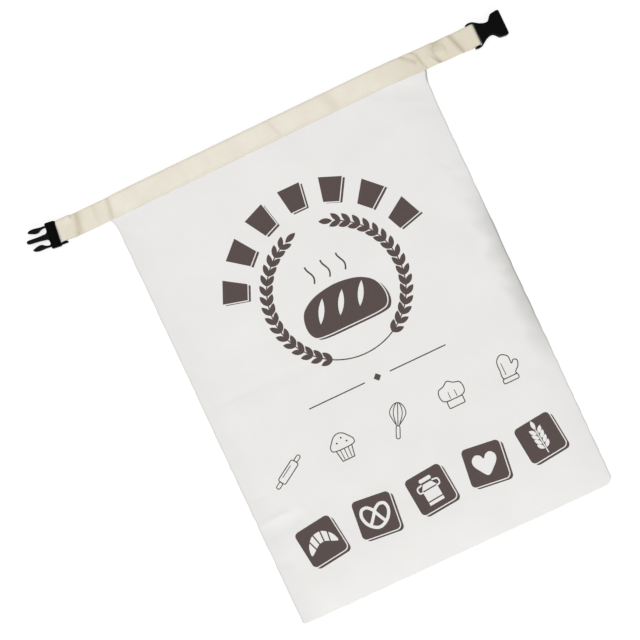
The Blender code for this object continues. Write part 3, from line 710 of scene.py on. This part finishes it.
def printedGrid():
    # the flat cloth's grid with the print's outlines cut into it
    linesA, linesB = flatGrid(bag["frontStep"])
    gridA, gridB = (v.ravel() for v in np.meshgrid(linesA, linesB))
    outlines, inkOf = [], []
    for points, inked in printShapes():
        a, b = flatOf(points[:, 0] * mm, points[:, 1] * mm)
        outline = np.stack([a, b], 1)
        nextA, nextB = np.roll(outline, -1, 0).T
        area = np.sum(outline[:, 0] * nextB - outline[:, 1] * nextA)
        outlines.append(outline if area > 0 else outline[::-1])
        inkOf.append(inked)
    near = KDTree(sum(len(o) for o in outlines) * 4)
    for outline in outlines:
        for share in (0.0, 0.25, 0.5, 0.75):
            for a, b in outline * (1 - share) + np.roll(outline, -1, 0) * share:
                near.insert((a, b, 0), 0)
    near.balance()
    clear, border = 0.00042, 0.008  # grid points this near to an outline go, but none in the border
    inside = (gridA > border) & (gridA < linesA[-1] - border) & (gridB > border)
    inside &= gridB < linesB[-1] - border
    keep = [not i or near.find((a, b, 0))[2] > clear for a, b, i in zip(gridA, gridB, inside)]
    points = list(zip(gridA[keep], gridB[keep]))
    faces = []
    for outline in outlines:
        faces.append(list(range(len(points), len(points) + len(outline))))
        points += [tuple(p) for p in outline]
    made = delaunay_2d_cdt([Vector(p) for p in points], [], faces, 0, 1e-7, True)
    verts, triangles, origins = np.array([tuple(v) for v in made[0]]), made[2], made[5]
    ink = [float(inkOf[max(ids)]) if ids else 0.0 for ids in origins]
    return verts[:, 0], verts[:, 1], np.array(triangles), np.array(ink, np.float32)


class Wire:
    # wraps a node's output, so that maths on it reads as an expression
    def __init__(self, tree, socket):
        self.tree, self.socket = tree, socket

    def node(self, kind, settings=None, values=None, output=0):
        made = self.tree.nodes.new(kind)
        for name, value in (settings or {}).items():
            setattr(made, name, value)
        for name, value in (values or {}).items():
            if isinstance(value, Wire):
                self.tree.links.new(value.socket, made.inputs[name])
            else:
                made.inputs[name].default_value = value
        return Wire(self.tree, made.outputs[output])

    def outlet(self, name):
        # another output of the same node
        return Wire(self.tree, self.socket.node.outputs[name])

    def math(self, operation, first, second=0.0):
        return self.node("ShaderNodeMath", {"operation": operation}, {0: first, 1: second})

    def __add__(self, other):
        return self.math("ADD", self, other)

    def __sub__(self, other):
        return self.math("SUBTRACT", self, other)

    def __rsub__(self, other):
        return self.math("SUBTRACT", other, self)

    def __mul__(self, other):
        return self.math("MULTIPLY", self, other)

    __radd__, __rmul__ = __add__, __mul__


def linear(*levels):
    # levels of a picture, from 0 to 255, as a material's colour
    return tuple(v / 255 / 12.92 if v <= 10 else ((v / 255 + 0.055) / 1.055) ** 2.4 for v in levels)


def startMaterial(name):
    material = bpy.data.materials.new(name)
    material.use_nodes = True
    shader = material.node_tree.nodes["Principled BSDF"]
    return material, shader, Wire(material.node_tree, None)


def setSockets(shader, values):
    # a wire is linked, a number or a colour is set
    for name, value in values.items():
        if isinstance(value, Wire):
            value.tree.links.new(value.socket, shader.inputs[name])
        else:
            shader.inputs[name].default_value = value


def colourMix(wire, factor, first, second):
    settings = {"data_type": "RGBA"}
    first = first if isinstance(first, Wire) else (*first, 1.0)
    second = second if isinstance(second, Wire) else (*second, 1.0)
    return wire.node("ShaderNodeMix", settings, {0: factor, 6: first, 7: second}, 2)


def speckles(wire, place, scale, detail, dimensions="2D"):
    values = {"Vector": place, "Scale": scale, "Detail": detail}
    return wire.node("ShaderNodeTexNoise", {"noise_dimensions": dimensions}, values)


def slubs(wire, flat, scaleU, scaleV):
    # long thin uneven places of the threads
    stretched = wire.node("ShaderNodeMapping", None, {0: flat, 3: (scaleU, scaleV, 1.0)})
    return speckles(wire, stretched, 1.0, 2.0)


def softStep(wire, value, start, end):
    settings = {"interpolation_type": "SMOOTHSTEP"}
    return wire.node("ShaderNodeMapRange", settings, {0: value, 1: start, 2: end})


def bumpOf(wire, bump, height):
    values = {"Strength": bump[0], "Distance": bump[1], "Height": height}
    return wire.node("ShaderNodeBump", None, values)


def markOf(wire, name):
    return wire.node("ShaderNodeAttribute", {"attribute_name": name}, None, 2)


def objectPlace(wire):
    return wire.node("ShaderNodeTexCoord", None, None, 3)


def flatPlace(wire):
    # a place on the flat cloth, and its two coordinates in metres
    flat = wire.node("ShaderNodeUVMap", {"uv_map": "clothFlat"})
    split = wire.node("ShaderNodeSeparateXYZ", None, {0: flat})
    return flat, split, split.outlet(1)


def weaveOf(wire, u, v, pitchU, pitchV):
    # plain weave: threads pass over and under by turns; 1 on a thread's crown, 0 between threads
    warp = wire.math("SINE", u * (math.pi / pitchU))
    weft = wire.math("SINE", v * (math.pi / pitchV))
    over = warp * weft
    crownU, crownV = 1 - warp * warp, 1 - weft * weft
    upper, lower = (1 - crownU * 0.6) * (0.5 + over * 0.5), (1 - crownV * 0.6) * (0.5 - over * 0.5)
    return wire.math("MAXIMUM", upper, lower)


clothShine = {"Specular IOR Level": 0.25, "Sheen Weight": 0.08}
cotton = {
    "colour": linear(233, 232, 230),
    "shade": linear(225, 224, 222),
    "shading": (0.9, 0.25, 0.8, 0.8),  # by its blotches, between threads, by slubs, and all of it
    # painted shade of the seams and sloped sides
    "seamShade": linear(176, 175, 172),
    "ink": linear(62, 47, 45),
    "inkWorn": linear(84, 68, 65),
    "inkCover": 0.97,
    "inkSpeckles": (420.0, 4.0),
    "blotches": (26.0, 3.0),
    "slubs": (180.0, 2600.0),
    "threadPitch": 0.00058,
    "weftRatio": 1.08,
    "roughness": 0.92,
    "inkSmoother": 0.12,
    "fading": (0.5, 0.3),  # of the ink, by its speckles and between threads
    "relief": (0.7, 0.6),  # of the weave and the slubs
    "bump": (0.22, 0.00012),
}
# Painted shade, greyer cloth along the seams and most on the right: where each tone starts and is full,
# in metres from its seam or up the bag, how far patches shift it, and its strength.
paintedClothShade = {
    "patches": (60.0, 2.0),
    "paintedShadeRight": ((0.027, 0.005), 0.01, (0.105, 0.17), (0.3, 0.235), 0.48),
    "shadedLeft": ((0.033, 0.008), 0.008, 0.075),
    "rightSeam": ((0.003, 0.0012), (0.14, 0.19), (0.275, 0.24), 0.45, 0.3),
    "mouthCorner": ((0.0034, 0.0014), (0.384, 0.39), 0.9),
    "leftSeam": ((0.003, 0.0012), 0.22),
    "bottomSeam": ((0.0026, 0.0012), 0.1),
}


def paintedShadeShare(wire, flat, u, v):
    # how much painted shade greys the cloth here: along the seams, over the left side and in patches at
    # the right
    toRight = flatWidth - u
    patches = speckles(wire, flat, *paintedClothShade["patches"])

    def soft(value, ends):
        return softStep(wire, value, *ends)

    reach, patchy, low, high, strength = paintedClothShade["paintedShadeRight"]
    paintedDark = soft(toRight + patches * patchy, reach) * soft(v, low) * soft(v, high) * strength
    reach, patchy, strength = paintedClothShade["shadedLeft"]
    paintedDark = paintedDark + soft(u + patches * patchy, reach) * strength
    reach, low, high, more, least = paintedClothShade["rightSeam"]
    seam = soft(toRight, reach) * (soft(v, low) * soft(v, high) * more + least)
    reach, low, strength = paintedClothShade["mouthCorner"]
    seam = seam + soft(toRight, reach) * soft(v, low) * strength
    for value, (reach, strength) in ((u, paintedClothShade["leftSeam"]), (v, paintedClothShade["bottomSeam"])):
        seam = seam + soft(value, reach) * strength
    return wire.math("MINIMUM", paintedDark + seam, 1.0)


def cottonMaterial():
    material, shader, wire = startMaterial("cottonCanvas")
    flat, u, v = flatPlace(wire)
    fine, coarse = cotton["slubs"]
    slub = (slubs(wire, flat, fine, coarse) + slubs(wire, flat, coarse, fine)) * 0.5
    weave = weaveOf(wire, u, v, cotton["threadPitch"], cotton["threadPitch"] * cotton["weftRatio"])
    byBlotch, byWeave, bySlub, whole = cotton["shading"]
    dark = speckles(wire, flat, *cotton["blotches"]) * byBlotch + (1 - weave) * byWeave
    dark = wire.math("MINIMUM", dark + (slub - 0.5) * bySlub, 1.0)
    cloth = colourMix(wire, dark * whole, cotton["colour"], cotton["shade"])
    # painted shade along the seams and sides, mixed into the cloth's colour
    cloth = colourMix(wire, paintedShadeShare(wire, flat, u, v), cloth, cotton["seamShade"])
    bySpeckle, byGap = cotton["fading"]
    faded = speckles(wire, flat, *cotton["inkSpeckles"]) * bySpeckle + (1 - weave) * byGap
    ink = colourMix(wire, faded, cotton["ink"], cotton["inkWorn"])
    inked = markOf(wire, "marked")
    ofWeave, ofSlub = cotton["relief"]
    setSockets(shader, {
        "Base Color": colourMix(wire, inked * cotton["inkCover"], cloth, ink),
        "Roughness": cotton["roughness"] - inked * cotton["inkSmoother"],
        "Normal": bumpOf(wire, cotton["bump"], weave * ofWeave + slub * ofSlub),
        "Sheen Roughness": 0.6,
        **clothShine,
    })
    return material


webbing = {
    "colour": linear(238, 233, 222),
    "shade": linear(221, 213, 196),
    "shading": (0.55, 0.3, 0.18),  # by its blotches, by slubs, and between its ribs
    "blotches": (55.0, 3.0),
    "slubs": (160.0, 1900.0),
    "ribPitch": 0.00095,
    "weftPitch": 0.00048,
    "paintedBandShade": linear(182, 170, 142),  # painted shade in the folds, and less so along the edges
    "paintedShadeStrength": 0.58,
    "rimShare": 0.35,
    "rim": (0.85, 0.1),  # from this share of the half width, and over this much of it
    "aged": linear(214, 206, 184),
    "agedRight": ((0.3, 0.4), 0.68),  # along the band from its left end, and how strong
    "agedLeft": ((0.075, 0.055), 0.3),
    "roughness": 0.9,
    "relief": (0.6, 0.2, 0.4),  # of its ribs, its weft and the slubs
    "bump": (0.35, 0.00015),
}


def webbingMaterial():
    material, shader, wire = startMaterial("creamWebbing")
    flat, along, across = flatPlace(wire)
    rib = wire.math("ABSOLUTE", wire.math("SINE", across * (math.pi / webbing["ribPitch"])))
    weft = wire.math("SINE", along * (2 * math.pi / webbing["weftPitch"]))
    slub = slubs(wire, flat, *webbing["slubs"])
    byBlotch, bySlub, byRib = webbing["shading"]
    dark = speckles(wire, flat, *webbing["blotches"]) * byBlotch + slub * bySlub + (1 - rib) * byRib
    colour = colourMix(wire, wire.math("MINIMUM", dark, 1.0), webbing["colour"], webbing["shade"])
    (rightEnds, right), (leftEnds, left) = webbing["agedRight"], webbing["agedLeft"]
    aged = softStep(wire, along, *rightEnds) * right + softStep(wire, along, *leftEnds) * left
    colour = colourMix(wire, aged, colour, webbing["aged"])
    # painted shade in the band's folds and along its edges
    paintedShadeStrength = markOf(wire, "paintedBandShade") * webbing["paintedShadeStrength"]
    ofRib, ofWeft, ofSlub = webbing["relief"]
    height = rib * ofRib + weft * ofWeft + slub * ofSlub
    setSockets(shader, {
        "Base Color": colourMix(wire, paintedShadeStrength, colour, webbing["paintedBandShade"]),
        "Roughness": webbing["roughness"],
        "Normal": bumpOf(wire, webbing["bump"], height),
        **clothShine,
    })
    return material


sewingThread = {"dark": 0.78, "twist": (2600.0, 2.0), "roughness": 0.75, "bump": (0.4, 0.00008)}


def threadMaterial(name, colour):
    material, shader, wire = startMaterial(name)
    twist = speckles(wire, objectPlace(wire), *sewingThread["twist"], "3D")
    shade = tuple(c * sewingThread["dark"] for c in colour)
    setSockets(shader, {
        "Base Color": colourMix(wire, twist, colour, shade),
        "Roughness": sewingThread["roughness"],
        "Normal": bumpOf(wire, sewingThread["bump"], twist),
    })
    return material


plastic = {
    "colour": (0.0012, 0.0012, 0.0014),
    "dusty": (0.0024, 0.0024, 0.0026),
    "grain": (3200.0, 2.0),
    "haze": (190.0, 3.0),
    "roughness": 0.3,
    "hazeRougher": 0.16,
    "specular": 0.04,
    "bump": (0.18, 0.00004),
}


def plasticMaterial():
    material, shader, wire = startMaterial("blackPlastic")
    place = objectPlace(wire)
    grain = speckles(wire, place, *plastic["grain"], "3D")
    haze = speckles(wire, place, *plastic["haze"], "3D")
    setSockets(shader, {
        "Base Color": colourMix(wire, haze, plastic["colour"], plastic["dusty"]),
        "Roughness": plastic["roughness"] + haze * plastic["hazeRougher"],
        "Normal": bumpOf(wire, plastic["bump"], grain),
        "Specular IOR Level": plastic["specular"],
    })
    return material


def stitchTree():
    # one small rounded stitch after another along each line of the mesh
    tree = bpy.data.node_groups.new("stitchRow", "GeometryNodeTree")
    tree.is_modifier = True
    made = tree.interface.new_socket
    made("Geometry", in_out="INPUT", socket_type="NodeSocketGeometry")
    for name in ("Stitch Length", "Pitch", "Thread Radius", "Lean"):
        made(name, in_out="INPUT", socket_type="NodeSocketFloat")
    made("Thread", in_out="INPUT", socket_type="NodeSocketMaterial")
    made("Geometry", in_out="OUTPUT", socket_type="NodeSocketGeometry")

    wire = Wire(tree, None)
    start = wire.node("NodeGroupInput")
    halfLength, radius = start.outlet("Stitch Length") * 0.5, start.outlet("Thread Radius")
    size = wire.node("ShaderNodeCombineXYZ", None, {"X": halfLength, "Y": radius, "Z": radius})
    ball = wire.node("GeometryNodeMeshUVSphere", None, {"Segments": 8, "Rings": 6, "Radius": 1.0})
    stitch = wire.node("GeometryNodeTransform", None, {"Geometry": ball, "Scale": size})
    lines = wire.node("GeometryNodeMeshToCurve", None, {0: start.outlet("Geometry")})
    spacing = {"Curve": lines, "Length": start.outlet("Pitch")}
    evenly = wire.node("GeometryNodeResampleCurve", {"mode": "LENGTH"}, spacing)
    points = wire.node("GeometryNodeCurveToPoints", {"mode": "EVALUATED"}, {"Curve": evenly})
    tangent = {"Vector": points.outlet("Tangent")}
    heading = wire.node("FunctionNodeAlignRotationToVector", {"axis": "X"}, tangent)
    leaning = {3: start.outlet("Lean"), "Seed": 5}
    lean = wire.node("FunctionNodeRandomValue", {"data_type": "FLOAT"}, leaning, 1)
    swing = wire.node("ShaderNodeCombineXYZ", None, {"Z": lean})
    aimed = wire.node("FunctionNodeRotateRotation", None, {0: heading, 1: swing})
    placing = {"Points": points, "Instance": stitch, "Rotation": aimed}
    placed = wire.node("GeometryNodeInstanceOnPoints", None, placing)
    solid = wire.node("GeometryNodeRealizeInstances", None, {0: placed})
    smooth = wire.node("GeometryNodeSetShadeSmooth", None, {0: solid})
    dyeing = {0: smooth, "Material": start.outlet("Thread")}
    dyed = wire.node("GeometryNodeSetMaterial", None, dyeing)
    tree.links.new(dyed.socket, tree.nodes.new("NodeGroupOutput").inputs[0])
    return tree


def sewn(name, tree, paths, settings):
    # stitches along the paths, made a plain mesh
    verts, edges = [], []
    for path in paths:
        edges += [(len(verts) + i, len(verts) + i + 1) for i in range(len(path) - 1)]
        verts += [tuple(p) for p in path]
    mesh = bpy.data.meshes.new(name)
    mesh.from_pydata(verts, edges, [])
    guide = addObject(name, mesh)
    modifier = guide.modifiers.new("stitches", "NODES")
    modifier.node_group = tree
    for item in tree.interface.items_tree:
        if item.in_out == "INPUT" and item.name in settings:
            modifier[item.identifier] = settings[item.name]
    evaluated = guide.evaluated_get(bpy.context.evaluated_depsgraph_get())
    stitches = bpy.data.meshes.new_from_object(evaluated)
    guide.modifiers.clear()
    guide.data = stitches
    bpy.data.meshes.remove(mesh)
    stitches.name = name
    return guide


def surfaceOf(piece):
    corners, faces = piece.data.vertices, piece.data.polygons
    return BVHTree.FromPolygons([v.co for v in corners], [tuple(f.vertices) for f in faces])


def layOn(surface, points, lift, fromAbove=True):
    # the points put on a surface from above or below, and lifted off it a little
    side = 1.0 if fromAbove else -1.0
    laid = []
    for x, y in points:
        hit = surface.ray_cast(Vector((x, y, 0.05 * side)), Vector((0, 0, -side)))[0]
        laid.append((x, y, hit.z + side * lift))
    return laid


canvas = cottonMaterial()
cream = webbingMaterial()
black = plasticMaterial()

printA, printB, printFaces, ink = printedGrid()
frontCloth = makePanel("frontCloth", frontTop, 1.0, printA, printB, printFaces, ink)
frontCloth.data.materials.append(canvas)
print("front panel with its print:", len(frontCloth.data.polygons), "faces")

linesA, linesB = flatGrid(bag["backStep"])
backA, backB = (v.ravel() for v in np.meshgrid(linesA, linesB))
backFaces = gridFaces(len(linesB), len(linesA))[:, ::-1]
backCloth = makePanel("backCloth", backUnder, -1.0, backA, backB, backFaces)
backCloth.data.materials.append(canvas)
print("back panel:", len(backCloth.data.polygons), "faces")

middleSurface, bandAcross, creased = bandSurface()
bandNormals = gridNormals(middleSurface)
rounding = np.sqrt(1 - np.minimum(np.abs(widthShares), 0.999) ** 12)
half = (band["thickness"] / 2 * rounding)[None, :, None] * -bandNormals
steps = np.linalg.norm(np.diff(middleSurface[:, len(widthShares) // 2], axis=0), axis=1)
bandAlong = np.repeat(np.concatenate([[0], np.cumsum(steps)])[:, None], len(widthShares), 1)
bandFaces = gridFaces(*bandAlong.shape)[:, ::-1]
bandPlaces = np.stack([bandAlong.ravel(), bandAcross.ravel()], 1)
bandWebbing = closedSheet("bandWebbing", (middleSurface + half).reshape(-1, 3),
                          (middleSurface - half).reshape(-1, 3), bandFaces, bandPlaces)
# painted shade: darker in the folds and along the rounded long edges
rimFrom, rimOver = webbing["rim"]
rims = np.clip((np.abs(widthShares) - rimFrom) / rimOver, 0, 1) * webbing["rimShare"]
paintedBandShade = np.maximum(creased, rims)
bandWebbing.data.attributes.new("paintedBandShade", "FLOAT", "POINT").data.foreach_set(
    "value", np.tile(paintedBandShade.ravel(), 2).astype(np.float32))
bandWebbing.data.materials.append(cream)

stitching = {
    "lift": 0.00002,  # how far the middle of a stitch is above the tape
    "rowInset": 0.0019,  # from the band's long edges
    "rows": (0.196, 0.003, 0.0015),  # y, how far from the bag's edges, and spacing of the points
    "hemRow": (0.19, 0.005, 0.003),
    "hemBelow": 0.0145,  # below the mouth
    "hemLift": -0.00011,
    "band": {"Stitch Length": 0.0025, "Pitch": 0.0031, "Thread Radius": 0.00021, "Lean": 0.1},
    "ends": {"Stitch Length": 0.0019, "Pitch": 0.0024, "Thread Radius": 0.00024, "Lean": 0.12},
    "hem": {"Stitch Length": 0.0025, "Pitch": 0.0032, "Thread Radius": 0.00019, "Lean": 0.1},
    "boxNear": 0.0032,  # from the bar
    "boxFar": 0.012,
    "boxHalfWidth": 0.0079,
}


def rowAcross(y, inset, spacing):
    return np.arange(float(leftEdge(y)) + inset, float(rightEdge(y)) - inset, spacing)


creamThread = threadMaterial("creamThread", linear(236, 229, 212))
whiteThread = threadMaterial("whiteThread", linear(236, 235, 232))
tree = stitchTree()

onTape = surfaceOf(bandWebbing)
rowX = rowAcross(*stitching["rows"])
rows = []
for side in (1, -1):
    rowY = bandMiddle(rowX) + side * (between(band["middle"], rowX, 2) - stitching["rowInset"])
    rows.append(layOn(onTape, zip(rowX, rowY), stitching["lift"]))
bandStitching = sewn("bandStitching", tree, rows, {**stitching["band"], "Thread": creamThread})

boxes = []
for bar, out, slant in ((band["leftBar"], 1, band["leftSlant"]), (band["rightBar"], -1, 0.0)):
    near, far, wide = stitching["boxNear"], stitching["boxFar"], stitching["boxHalfWidth"]
    corners = [(near, -wide), (far, -wide), (far, wide), (near, wide), (near, -wide)]
    for (s0, w0), (s1, w1) in zip(corners, corners[1:]):
        count = 12
        line = []
        for i in range(count + 1):
            s, w = s0 + (s1 - s0) * i / count, w0 + (w1 - w0) * i / count
            line.append((bar[0] + out * s + slant * w, bar[1] + w))
        boxes.append(layOn(onTape, line, stitching["lift"]))
boxStitching = sewn("boxStitching", tree, boxes, {**stitching["ends"], "Thread": creamThread})

onBack = surfaceOf(backCloth)
hemX = rowAcross(*stitching["hemRow"])
hemY = mouthEdge(hemX) - stitching["hemBelow"]
hemRow = layOn(onBack, zip(hemX, hemY), stitching["hemLift"], False)
hemStitching = sewn("hemStitching", tree, [hemRow], {**stitching["hem"], "Thread": whiteThread})
stitched = (bandStitching, boxStitching, hemStitching)
print("stitches:", sum(len(piece.data.polygons) for piece in stitched), "faces")

for node in ("buckle_prong_half", "buckle_socket_half"):
    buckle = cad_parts[node]
    buckle.data.materials.clear()
    buckle.data.materials.append(black)

for piece in (frontCloth, backCloth, bandWebbing, bandStitching, boxStitching, hemStitching):
    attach(piece, "root")
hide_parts("front_panel")
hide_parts("back_panel")
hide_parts("band_tape")

# Straight down on the bag, turned as in the photograph.
camera = {
    "middle": (-0.0271, 0.0285),
    "right": (0.9041, -0.4274),
    "lens": 85.0,
    "clip": (0.05, 20.0),
    "width": 0.5606,
    "plane": 0.007,  # height at which the picture is that wide
}
lens = bpy.data.cameras.new("camera")
lens.lens, (lens.clip_start, lens.clip_end) = camera["lens"], camera["clip"]
view = addObject("camera", lens)
bpy.context.scene.camera = view
distance = camera["width"] * camera["lens"] / lens.sensor_width
right = Vector((*camera["right"], 0.0)).normalized()
up = Vector((0, 0, 1)).cross(right)
turn = Matrix((right, up, Vector((0, 0, 1)))).transposed().to_4x4()
view.matrix_world = Matrix.Translation((*camera["middle"], camera["plane"] + distance)) @ turn

studio = {
    "floorReach": 30,
    "floorColour": (0.3, 0.3, 0.3),
    "floorGlow": 0.76,
    "sky": 0.56,
    "lamps": {  # place, size and power of each large soft lamp
        "lowLamp": ((-0.6, -3.9, 2.8), 2.6, 96.0),
        "highLamp": ((-0.4, 0.75, 2.6), 1.5, 21.5),
    },
}
floorMesh = bpy.data.meshes.new("studioFloor")
far = studio["floorReach"]
floorCorners = [(-far, -far, 0), (far, -far, 0), (far, far, 0), (-far, far, 0)]
floorMesh.from_pydata(floorCorners, [], [(0, 1, 2, 3)])
studioFloor = addObject("studioFloor", floorMesh)
floorPaper, floorShader, _ = startMaterial("whitePaper")
setSockets(floorShader, {
    "Base Color": (*studio["floorColour"], 1.0),
    "Roughness": 0.9,
    "Specular IOR Level": 0.1,
    "Emission Color": (1.0, 1.0, 1.0, 1.0),
    "Emission Strength": studio["floorGlow"],
})
floorMesh.materials.append(floorPaper)

world = bpy.data.worlds.new("studioSky")
world.use_nodes = True
background = world.node_tree.nodes["Background"]
setSockets(background, {"Color": (1.0, 1.0, 1.0, 1.0), "Strength": studio["sky"]})
bpy.context.scene.world = world
for name, (place, size, power) in studio["lamps"].items():
    light = bpy.data.lights.new(name, "AREA")
    light.shape, light.size, light.energy = "DISK", size, power
    lamp = addObject(name, light)
    lamp.location = place
    lamp.rotation_euler = (-Vector(place)).to_track_quat("-Z", "Y").to_euler()
bpy.context.scene.view_settings.view_transform = "Standard"
print("camera, floor and lights made")
